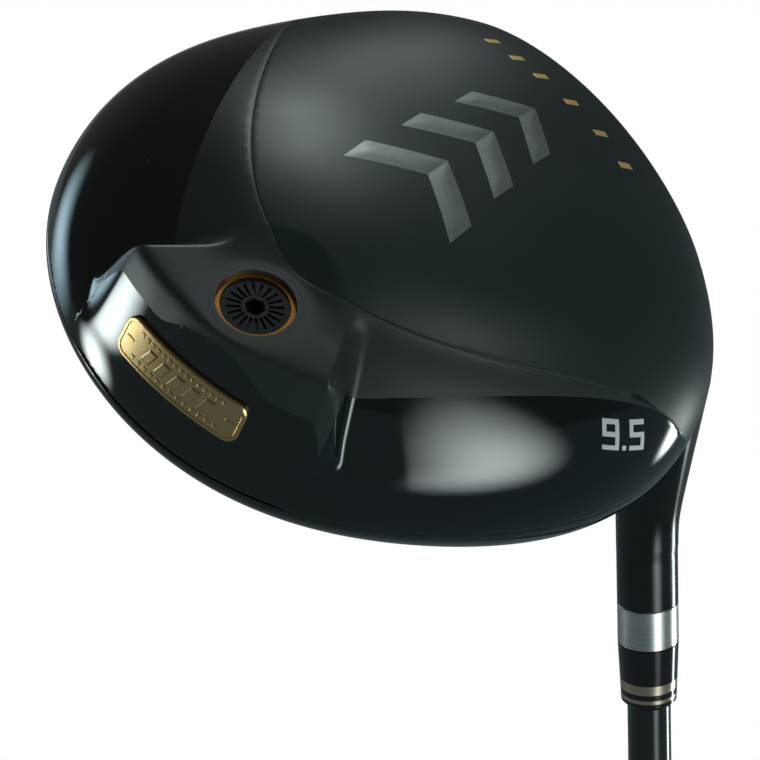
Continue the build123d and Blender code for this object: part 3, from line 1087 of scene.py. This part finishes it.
    def build_sole(self) -> dict[str, bpy.types.Object]:
        """The sole's three plates.

        Returns:
            The plates by name.
        """
        x = np.linspace(-75, 75, 520)
        lines = self.rings() + self.keel_lines() + [self.port_ring(), self.cup_line(HEAD.sole)]
        for offset in (-self.groove_half, 0.0, self.groove_half):
            lines.append(self.curve_angles(x, HEAD.panel_line(x) + offset))
        angles, faces = self.map_mesh(lines, True)
        middle = angles[faces].mean(axis=1)
        _, _, cx, cy = HEAD.plan_place(middle[:, 0], middle[:, 1])
        ahead = HEAD.ahead(HEAD.sole(middle[:, 0], middle[:, 1])) > 0
        lean = math.hypot(1, HEAD.keel_slope)
        hole = np.hypot(cx - HEAD.port[0], (cy - HEAD.port[1]) * lean) < self.port_hole
        gone = ahead | hole | (np.hypot(middle[:, 0], middle[:, 1]) > self.rim_tilt)
        panel = cy > HEAD.panel_line(cx)
        band = cy > HEAD.band_line(cx)
        reach = np.sin(np.hypot(middle[:, 0], middle[:, 1])) < HEAD.keel_share
        keel = ~panel & (band | (HEAD.keel_side(cx, cy) < HEAD.keel_trim)) & reach
        points = self.lift_points(angles, HEAD.sole, True)
        zones = {"sole_panel": panel, "keel_shell": keel, "rear_shell": ~panel & ~keel}
        return {
            name: self.zone_piece(name, points, faces[chosen & ~gone], True) for name, chosen in zones.items()
        }

    def build_crown(self) -> bpy.types.Object:
        """The crown's one shell.

        Returns:
            The crown.
        """
        angles, faces = self.map_mesh(self.rings() + [self.cup_line(HEAD.crown_top)], False)
        middle = angles[faces].mean(axis=1)
        gone = HEAD.ahead(HEAD.crown_top(middle[:, 0], middle[:, 1])) > 0
        gone |= np.hypot(middle[:, 0], middle[:, 1]) > self.rim_tilt
        points = self.lift_points(angles, HEAD.crown_top, False)
        return self.zone_piece("crown", points, faces[~gone], False)

    def build(self, shop: PaintShop) -> None:
        """Build and dress the four shells.

        Args:
            shop: Paint shop that makes the materials.
        """
        plates = self.build_sole()
        plates["crown"] = self.build_crown()
        duties = {
            "sole_panel": ("sole_plate", "satin_grey"),
            "keel_shell": ("keel_plate", "keel_grey"),
            "rear_shell": ("body_shell", "gloss_black"),
            "crown": ("crown_shell", "gloss_black"),
        }
        for name, (node, slot) in duties.items():
            piece = plates[name]
            shop.dress(piece, slot)
            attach(piece, "club")
            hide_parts(node)
            log.info("%s: %d faces", name, len(piece.data.polygons))


@dataclass
class Neck:
    """The hosel's outside, run smoothly into the heel of the head."""

    top: float = 91.1
    radius: float = 6.0
    flare: float = 0.225
    flare_top: float = 74.0
    flare_way: Plan = (-0.73, -0.68)
    flare_round: float = 3.0
    flare_turn: float = 0.7
    face_round: float = 0.5
    blend: float = 5.0
    wall: float = 0.8
    straight_low: float = 80.0
    skirt_top: float = 60.0
    skirt_radius: float = 8.0
    segments: int = 96
    bore: float = 4.45

    def field(self, points: np.ndarray) -> np.ndarray:
        """Rough distance outside the joined head and neck, at row points in millimetres.

        Args:
            points: Rows of x, y, z in the row frame, in millimetres.

        Returns:
            The distance at each point, negative inside.
        """
        head = HEAD.to_head(points)
        gradient = slope(HEAD.ball_gap, head)
        gap = HEAD.ball_gap(head) / np.maximum(np.linalg.norm(gradient, axis=-1), 1e-4)
        normal = np.array([0, math.cos(HEAD.loft), math.sin(HEAD.loft)])
        ball = np.array(HEAD.face_centre) - normal * HEAD.face_radius
        face = np.linalg.norm(head - ball, axis=-1) - HEAD.face_radius
        gap = soft_max(gap, face, self.face_round)
        up = HEAD.club_length - points[..., 2]
        away = np.hypot(points[..., 0], points[..., 1])
        toward = points[..., :2] @ np.array(self.flare_way) / np.maximum(away, 1e-6)
        drop = soft_max(self.flare_top - up, np.zeros_like(up), self.flare_round)
        tube = away - self.radius - self.flare * drop * smooth(-self.flare_turn, self.flare_turn, toward)
        share = np.clip(0.5 + 0.5 * (tube - gap) / self.blend, 0, 1)
        return tube + (gap - tube) * share - self.blend * share * (1 - share)

    def ring_plan(self) -> list[tuple[float, float]]:
        """Height above the ground and first radius of each ring, from the top.

        Returns:
            Pairs of height and radius, in millimetres.
        """
        plan = [(self.top - 0.4 * k, self.radius) for k in range(3)]
        plan += [(h, self.radius) for h in np.linspace(self.top - 1.2, self.straight_low, 9)]
        for height in np.linspace(self.straight_low - 1, self.skirt_top, 20):
            plan.append((height, self.radius + (self.straight_low - height) * 0.1))
        plan += [(self.skirt_top - k * 0.85, self.skirt_radius + k * 0.75) for k in range(1, 18)]
        return plan

    def build(self, shop: PaintShop) -> None:
        """Build and dress the neck.

        Args:
            shop: Paint shop that makes the materials.
        """
        turn = np.linspace(0, 2 * math.pi, self.segments, endpoint=False)
        rows = []
        plan = self.ring_plan()
        for number, (height, radius) in enumerate(plan):
            level = np.full_like(turn, HEAD.club_length - height)
            ring = np.stack([radius * np.cos(turn), radius * np.sin(turn), level], axis=-1)
            depth = {len(plan) - 2: -0.06, len(plan) - 1: -0.5}.get(number, 0.012)
            if height < self.straight_low:
                for _ in range(14):
                    gradient = slope(self.field, ring)
                    size = np.maximum((gradient**2).sum(axis=-1), 0.05)
                    ring = ring - gradient * ((self.field(ring) - depth) / size)[:, None] * 0.8
            rows.append(ring)
        mouth = rows[0] * np.array([self.bore / self.radius, self.bore / self.radius, 1])
        rows.insert(0, mouth)
        count = self.segments
        faces = []
        for r in range(len(rows) - 1):
            for k in range(count):
                n = (k + 1) % count
                faces.append((r * count + k, r * count + n, (r + 1) * count + n, (r + 1) * count + k))
        piece = mesh_piece("neck", np.concatenate(rows) * MM, faces)
        apply_modifier(piece, "SOLIDIFY", thickness=self.wall * MM, offset=-1.0)
        soften(piece, 40)
        shop.dress(piece, "satin_grey")
        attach(piece, "club")
        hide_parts("hosel_neck")
        log.info("neck: %d faces", len(piece.data.polygons))


# ---------------------------------------------------------------- marks on the sole
@dataclass(frozen=True)
class SolePatch:
    """Flat drawing area on the sole: an origin in plan, and the way its first axis points."""

    origin: Plan
    heading: float

    def place(self, local: np.ndarray) -> np.ndarray:
        """Row places of local points: along, across and out of the sole, in millimetres.

        Args:
            local: Points in the drawing's own axes.

        Returns:
            Rows of x, y, z in the row frame, in metres.
        """
        c, s = math.cos(self.heading), math.sin(self.heading)
        x = self.origin[0] + local[:, 0] * c - local[:, 1] * s
        y = self.origin[1] + local[:, 0] * s + local[:, 1] * c
        angles = HEAD.angles(x, y)
        return lift_out(angles, local[:, 2])


def lift_out(angles: np.ndarray, height: np.ndarray) -> np.ndarray:
    """Row places at a height out of the sole, at angle pairs.

    Args:
        angles: Angle pairs, one row each.
        height: Heights out of the sole, in millimetres.

    Returns:
        Rows of x, y, z in the row frame, in metres.
    """
    u, v = angles[:, 0], angles[:, 1]
    step = 1e-3
    base = HEAD.sole(u, v)
    normal = np.cross(HEAD.sole(u, v + step) - base, HEAD.sole(u + step, v) - base)
    normal /= np.linalg.norm(normal, axis=1)[:, None]
    return HEAD.to_row(base + normal * height[:, None])


@dataclass
class Emblem:
    """Row of bevelled chevrons on the sole's panel, in satin silver."""

    patch: SolePatch = SolePatch((0.0, -46.0), math.radians(80))
    half_span: float = 12.5
    arm: float = 6.4
    sweep: float = 9.0
    height: float = 0.22
    ridge: float = 1.9
    starts: tuple[float, ...] = (-25.0, -9.5, 6.0)

    def build(self, shop: PaintShop) -> None:
        """Build and dress the emblem.

        Args:
            shop: Paint shop that makes the materials.
        """
        plates = []
        for number, start in enumerate(self.starts):
            span = self.half_span * (1 - 0.12 * number)
            for side in (-1, 1):
                tip, tail = (start + self.sweep, 0.0), (start, side * span)
                corners = [tail, (tail[0] + self.arm, tail[1]), (tip[0] + self.arm, 0.0), tip]
                corners = corners if side < 0 else corners[::-1]
                plates.append(raised_plate(corners, self.height, self.ridge, 5))
        piece = join(plates, "emblem")
        wrap(piece, self.patch.place)
        soften(piece, 20)
        shop.dress(piece, "emblem_silver")
        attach(piece, "club")
        log.info("emblem: %d faces", len(piece.data.polygons))


@dataclass
class RimMarks:
    """Six gold ticks near the face end of the sole."""

    places: tuple[Plan, ...] = (
        (24.3, -14.2), (18.0, -14.0), (11.9, -13.5), (3.9, -12.8), (-4.6, -12.8), (-12.7, -13.6),
    )
    length: float = 3.4
    width: float = 1.5
    height: float = 0.06

    def build(self, shop: PaintShop) -> None:
        """Build and dress the ticks.

        Args:
            shop: Paint shop that makes the materials.
        """
        ticks = []
        for x, y in self.places:
            a, b = self.length / 2, self.width / 2
            tick = raised_plate([(-b, -a), (b, -a), (b, a), (-b, a)], self.height, 0.12, 2)
            wrap(tick, SolePatch((x, y), 0.25).place)
            ticks.append(tick)
        piece = join(ticks, "rim_marks")
        shop.dress(piece, "mark_gold")
        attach(piece, "club")
        log.info("rim marks: %d faces", len(piece.data.polygons))


@dataclass
class LoftFigures:
    """The loft in degrees, in plain slanted strokes at the heel."""

    corners: tuple[Point, ...] = (
        (-53.2, -56.6, 15.9), (-56.0, -47.4, 17.2), (-59.3, -47.9, 21.9), (-56.5, -57.5, 20.3),
    )
    stroke: float = 0.16
    height: float = 0.03

    def strokes(self) -> list[tuple[float, float, float, float]]:
        """Boxes of the figures, in shares of the area: left, bottom, right, top.

        Returns:
            Four shares for each box.
        """
        w = self.stroke
        nine = [(0.0, 1 - w, 0.38, 1.0), (0.0, 0.44, 0.09, 1 - w), (0.29, w, 0.38, 1 - w),
                (0.09, 0.44, 0.29, 0.44 + w), (0.0, 0.0, 0.38, w)]
        dot = [(0.46, 0.0, 0.55, w)]
        five = [(0.63, 1 - w, 1.0, 1.0), (0.63, 0.44 + w, 0.72, 1 - w), (0.63, 0.44, 1.0, 0.44 + w),
                (0.91, w, 1.0, 0.44), (0.63, 0.0, 1.0, w)]
        return nine + dot + five

    def place(self, local: np.ndarray) -> np.ndarray:
        """Row places of points given in shares of the area.

        Args:
            local: Points in the drawing's own axes.

        Returns:
            Rows of x, y, z in the row frame, in metres.
        """
        a, b = local[:, 0:1], local[:, 1:2]
        q = np.array(self.corners)
        point = (1 - a) * b * q[0] + a * b * q[1] + a * (1 - b) * q[2] + (1 - a) * (1 - b) * q[3]
        turn = np.arctan2(point[:, 1] - HEAD.centre_y, point[:, 0])
        return lift_out(HEAD.sole_at(turn, point[:, 2]), local[:, 2])

    def build(self, shop: PaintShop) -> None:
        """Build and dress the figures.

        Args:
            shop: Paint shop that makes the materials.
        """
        plates = []
        for left, low, right, high in self.strokes():
            corners = [(left, low), (right, low), (right, high), (left, high)]
            plates.append(raised_plate(corners, self.height, 0.012, 2))
        piece = join(plates, "loft_figures")
        wrap(piece, self.place)
        shop.dress(piece, "white_ink")
        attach(piece, "club")
        log.info("loft figures: %d faces", len(piece.data.polygons))


@dataclass
class Badge:
    """Gold plate bent round the back of the keel, with raised bars and ticks."""

    length: float = 28.0
    width: float = 8.6
    corner: float = 2.4
    thickness: float = 0.9
    middle: Plan = (-6.0, 28.6)
    radius: float = 62.0
    height: float = 0.25

    def place(self, local: np.ndarray) -> np.ndarray:
        """Row places of points: along the badge, up it and out of it, in millimetres.

        Args:
            local: Points in the drawing's own axes.

        Returns:
            Rows of x, y, z in the row frame, in metres.
        """
        middle = -math.pi / 2 + math.asin(self.middle[0] / self.radius)
        turn = middle + local[:, 0] / self.radius
        angles = HEAD.sole_at(turn, self.middle[1] + local[:, 1])
        return lift_out(angles, local[:, 2])

    def plate(self) -> bpy.types.Object:
        """The badge's body, with rounded corners, a bevelled edge and a sunk field.

        Returns:
            The body, in local millimetres.
        """
        clear_selection()
        bpy.ops.mesh.primitive_plane_add(size=1)
        piece = bpy.context.object
        for vertex in piece.data.vertices:
            vertex.co = (vertex.co.x * self.length, vertex.co.y * self.width, -0.3)
        bpy.ops.object.mode_set(mode="EDIT")
        bpy.ops.mesh.select_all(action="SELECT")
        bpy.ops.mesh.bevel(offset=self.corner, segments=8, affect="VERTICES")
        bpy.ops.mesh.extrude_region_move(TRANSFORM_OT_translate={"value": (0, 0, self.thickness)})
        bpy.ops.mesh.inset(thickness=0.3, use_even_offset=True)
        bpy.ops.transform.translate(value=(0, 0, 0.3))
        bpy.ops.mesh.inset(thickness=0.45, use_even_offset=True)
        bpy.ops.mesh.inset(thickness=0.12, use_even_offset=True)
        bpy.ops.transform.translate(value=(0, 0, -0.15))
        bpy.ops.mesh.select_all(action="SELECT")
        bpy.ops.mesh.normals_make_consistent(inside=False)
        for number in range(1, 28):
            bpy.ops.mesh.select_all(action="SELECT")
            level = self.length * (number / 28 - 0.5)
            bpy.ops.mesh.bisect(plane_co=(level, 0, 0), plane_no=(1, 0, 0))
        for level in (-2.9, -1.5, 0.0, 1.5, 2.9):
            bpy.ops.mesh.select_all(action="SELECT")
            bpy.ops.mesh.bisect(plane_co=(0, level, 0), plane_no=(0, 1, 0))
        bpy.ops.object.mode_set(mode="OBJECT")
        return piece

    def relief(self) -> list[bpy.types.Object]:
        """Raised bars in the middle, rows of ticks beside them and one at each end.

        Returns:
            The raised plates, in local millimetres.
        """
        plates = []
        for a in np.linspace(-6.6, 6.6, 5):
            corners = [(a - 1.6, -1.5), (a + 0.4, -1.5), (a + 1.5, 1.5), (a - 0.5, 1.5)]
            plates.append(raised_plate(corners, self.height, 0.25, 1))
        for level, count in ((-2.6, 15), (2.6, 13)):
            for a in np.linspace(-9.5, 9.5, count):
                corners = self.box(a, level, 0.4, 0.42)
                plates.append(raised_plate(corners, self.height * 0.6, 0.12, 1))
        for side in (-1, 1):
            plates.append(raised_plate(self.box(side * 11.6, 0, 0.9, 0.25), self.height * 0.6, 0.1, 1))
        for plate in plates:
            for vertex in plate.data.vertices:
                vertex.co.z += self.thickness - 0.15
        return plates

    @staticmethod
    def box(a: float, b: float, half: float, rise: float) -> list[Plan]:
        """Corners of an upright box about a middle."""
        return [(a - half, b - rise), (a + half, b - rise), (a + half, b + rise), (a - half, b + rise)]

    def build(self, shop: PaintShop) -> None:
        """Build and dress the badge.

        Args:
            shop: Paint shop that makes the materials.
        """
        piece = join([self.plate()] + self.relief(), "badge")
        wrap(piece, self.place)
        soften(piece, 25)
        shop.dress(piece, "gold")
        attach(piece, "club")
        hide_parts("sole_badge", "badge_tape")
        log.info("badge: %d faces", len(piece.data.polygons))


# ---------------------------------------------------------------- grip
@dataclass
class Grip:
    """Rubber sleeve with rings of grooves, spun about the shaft's axis."""

    low: float = 7.0
    high: float = 268.0
    butt_radius: float = 13.4
    mouth_radius: float = 9.2
    bore_low: float = 7.8
    bore_high: float = 6.8
    pitch: float = 5.0
    groove: float = 0.5
    plain: float = 18.0
    segments: int = 96

    def outline(self) -> list[Plan]:
        """Radius and height of the sleeve's section, once round.

        Returns:
            Pairs of radius and height, in millimetres.
        """
        points: list[Plan] = [(self.bore_low, self.low), (self.butt_radius - 0.1, self.low)]
        level = self.low + self.plain
        while level < self.high - self.plain:
            radius = self.radius(level)
            points += [(radius, level), (radius - self.groove, level + 0.7)]
            points += [(radius - self.groove, level + 1.3), (radius, level + 2.0)]
            level += self.pitch
        points += [(self.mouth_radius, self.high - 0.8), (self.mouth_radius - 0.6, self.high)]
        return points + [(self.bore_high, self.high)]

    def radius(self, level: float) -> float:
        """Outside radius at a height."""
        share = (level - self.low) / (self.high - self.low)
        return self.butt_radius + (self.mouth_radius - self.butt_radius) * share

    def build(self, shop: PaintShop) -> None:
        """Build and dress the sleeve.

        Args:
            shop: Paint shop that makes the materials.
        """
        clear_selection()
        bpy.ops.mesh.primitive_circle_add(vertices=len(self.outline()), radius=1)
        piece = bpy.context.object
        piece.name = "grip_skin"
        for vertex, (radius, level) in zip(piece.data.vertices, self.outline()):
            vertex.co = (radius * MM, 0, level * MM)
        bpy.ops.object.mode_set(mode="EDIT")
        bpy.ops.mesh.select_all(action="SELECT")
        bpy.ops.mesh.spin(steps=self.segments, angle=2 * math.pi, center=(0, 0, 0), axis=(0, 0, 1))
        bpy.ops.mesh.select_all(action="SELECT")
        bpy.ops.mesh.remove_doubles(threshold=1e-6)
        bpy.ops.mesh.normals_make_consistent(inside=False)
        bpy.ops.object.mode_set(mode="OBJECT")
        soften(piece, 28)
        shop.dress(piece, "grip_rubber")
        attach(piece, "club")
        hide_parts("grip_sleeve")
        log.info("grip: %d faces", len(piece.data.polygons))


# ---------------------------------------------------------------- studio
@dataclass(frozen=True)
class SoftBox:
    """One soft light: the way to it from the head, its distance, size, power and tint."""

    way: Point
    distance: float
    size: Plan
    power: float
    tint: Colour = (0.9, 1.0, 1.0)


@dataclass
class Studio:
    """Pale floor, soft lights and the camera."""

    target: Point = (0.015, 0.05, 1.13)
    aim: Point = (0.022173, 0.049603, 1.115443)
    look: Point = (0.647255, -0.670487, -0.362640)
    right: Point = (-0.730106, -0.682036, -0.042104)
    up: Point = (0.219103, -0.292018, 0.930978)
    camera_distance: float = 0.59256
    lens: float = 152.9
    floor_size: float = 60.0
    floor_drop: float = 0.0005
    floor_tint: Colour = (0.75, 0.95, 1.0)
    floor_glow: float = 0.14
    room_glow: float = 0.06
    boxes: tuple[SoftBox, ...] = (
        SoftBox((0.2, -0.42, 0.88), 1.6, (0.75, 0.75), 7.5),
        SoftBox((0.37, -0.74, 0.57), 1.6, (0.6, 0.6), 1.2),
        SoftBox((-0.78, -0.08, 0.6), 1.6, (0.6, 0.6), 3.0),
        SoftBox((-0.93, 0.2, -0.25), 1.6, (1.3, 1.4), 12.0),
        SoftBox((-0.38, -0.82, -0.42), 1.2, (0.35, 0.6), 4.5),
        SoftBox((0.97, 0.14, 0.1), 1.6, (1.0, 1.2), 4.0, (0.6, 0.88, 1.0)),
        SoftBox((0.8, 0.58, -0.17), 1.4, (0.5, 0.5), 3.8),
    )

    def build(self) -> None:
        """Build the studio."""
        bpy.context.scene.view_settings.view_transform = "Standard"
        self.place_camera()
        self.lay_floor()
        self.tint_world()
        for number, box in enumerate(self.boxes):
            data = bpy.data.lights.new(f"soft_{number}", "AREA")
            data.shape = "RECTANGLE"
            data.size, data.size_y = box.size
            data.energy = box.power
            data.color = box.tint
            self.feather(data)
            light = bpy.data.objects.new(f"soft_{number}", data)
            bpy.context.collection.objects.link(light)
            way = Vector(box.way).normalized()
            light.location = Vector(self.target) + way * box.distance
            light.rotation_euler = (-way).to_track_quat("-Z", "Y").to_euler()

    @staticmethod
    def feather(data: bpy.types.Light) -> None:
        """Fade a soft box from its middle to its edges.

        Args:
            data: The light to fade.
        """
        data.use_nodes = True
        graph = Graph(data.node_tree)
        across = graph.add("ShaderNodeNewGeometry").outputs["Parametric"]
        flat = graph.add("ShaderNodeVectorMath", {0: across, 1: (1, 1, 0)}, operation="MULTIPLY")
        ends = {0: flat.outputs[0], 1: (0.5, 0.5, 0)}
        centre = graph.add("ShaderNodeVectorMath", ends, operation="DISTANCE")
        glow = graph.math("MULTIPLY", graph.step(centre.outputs["Value"], 0.5, 0.0), 3.0)
        data.node_tree.links.new(glow, data.node_tree.nodes["Emission"].inputs["Strength"])

    def place_camera(self) -> None:
        """Camera behind and above the head, looking down on the sole and the heel."""
        look = Vector(self.look)
        data = bpy.data.cameras.new("camera")
        data.lens = self.lens
        data.sensor_width = 36
        data.clip_start = 0.01
        camera = bpy.data.objects.new("camera", data)
        bpy.context.collection.objects.link(camera)
        turned = Matrix((self.right, self.up, -look)).transposed().to_4x4()
        camera.matrix_world = Matrix.Translation(Vector(self.aim) - look * self.camera_distance) @ turned
        bpy.context.scene.camera = camera

    def lay_floor(self) -> None:
        """Wide pale floor under the butt."""
        clear_selection()
        bpy.ops.mesh.primitive_plane_add(size=self.floor_size, location=(0, 0, -self.floor_drop))
        floor = bpy.context.object
        floor.name = "floor"
        material = bpy.data.materials.new("floor_pale")
        material.use_nodes = True
        graph = Graph(material.node_tree)
        output = material.node_tree.nodes["Material Output"]
        seen = graph.add("ShaderNodeEmission", {"Color": (1, 1, 1, 1), "Strength": 1.0})
        dim = graph.add("ShaderNodeEmission", {"Color": (*self.floor_tint, 1), "Strength": self.floor_glow})
        path = graph.add("ShaderNodeLightPath")
        shaders = {0: path.outputs["Is Camera Ray"], 1: dim.outputs[0], 2: seen.outputs[0]}
        mixed = graph.add("ShaderNodeMixShader", shaders)
        material.node_tree.links.new(mixed.outputs[0], output.inputs["Surface"])
        floor.data.materials.append(material)

    def tint_world(self) -> None:
        """Dim room, pale where the camera sees past the floor."""
        world = bpy.data.worlds.new("room")
        bpy.context.scene.world = world
        world.use_nodes = True
        graph = Graph(world.node_tree)
        path = graph.add("ShaderNodeLightPath")
        level = graph.span(path.outputs["Is Camera Ray"], self.room_glow, 1.0)
        world.node_tree.links.new(level, world.node_tree.nodes["Background"].inputs["Strength"])
        world.node_tree.nodes["Background"].inputs["Color"].default_value = (1, 1, 1, 1)


def main() -> None:
    """Build the driver's looks, piece by piece."""
    shop = PaintShop(Effects(), {})
    for node, name in NODE_FINISH.items():
        shop.dress(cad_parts[node], name)
    HeadShells().build(shop)
    Neck().build(shop)
    Emblem().build(shop)
    RimMarks().build(shop)
    LoftFigures().build(shop)
    Badge().build(shop)
    Grip().build(shop)
    Studio().build()


if __name__ == "__main__":
    main()
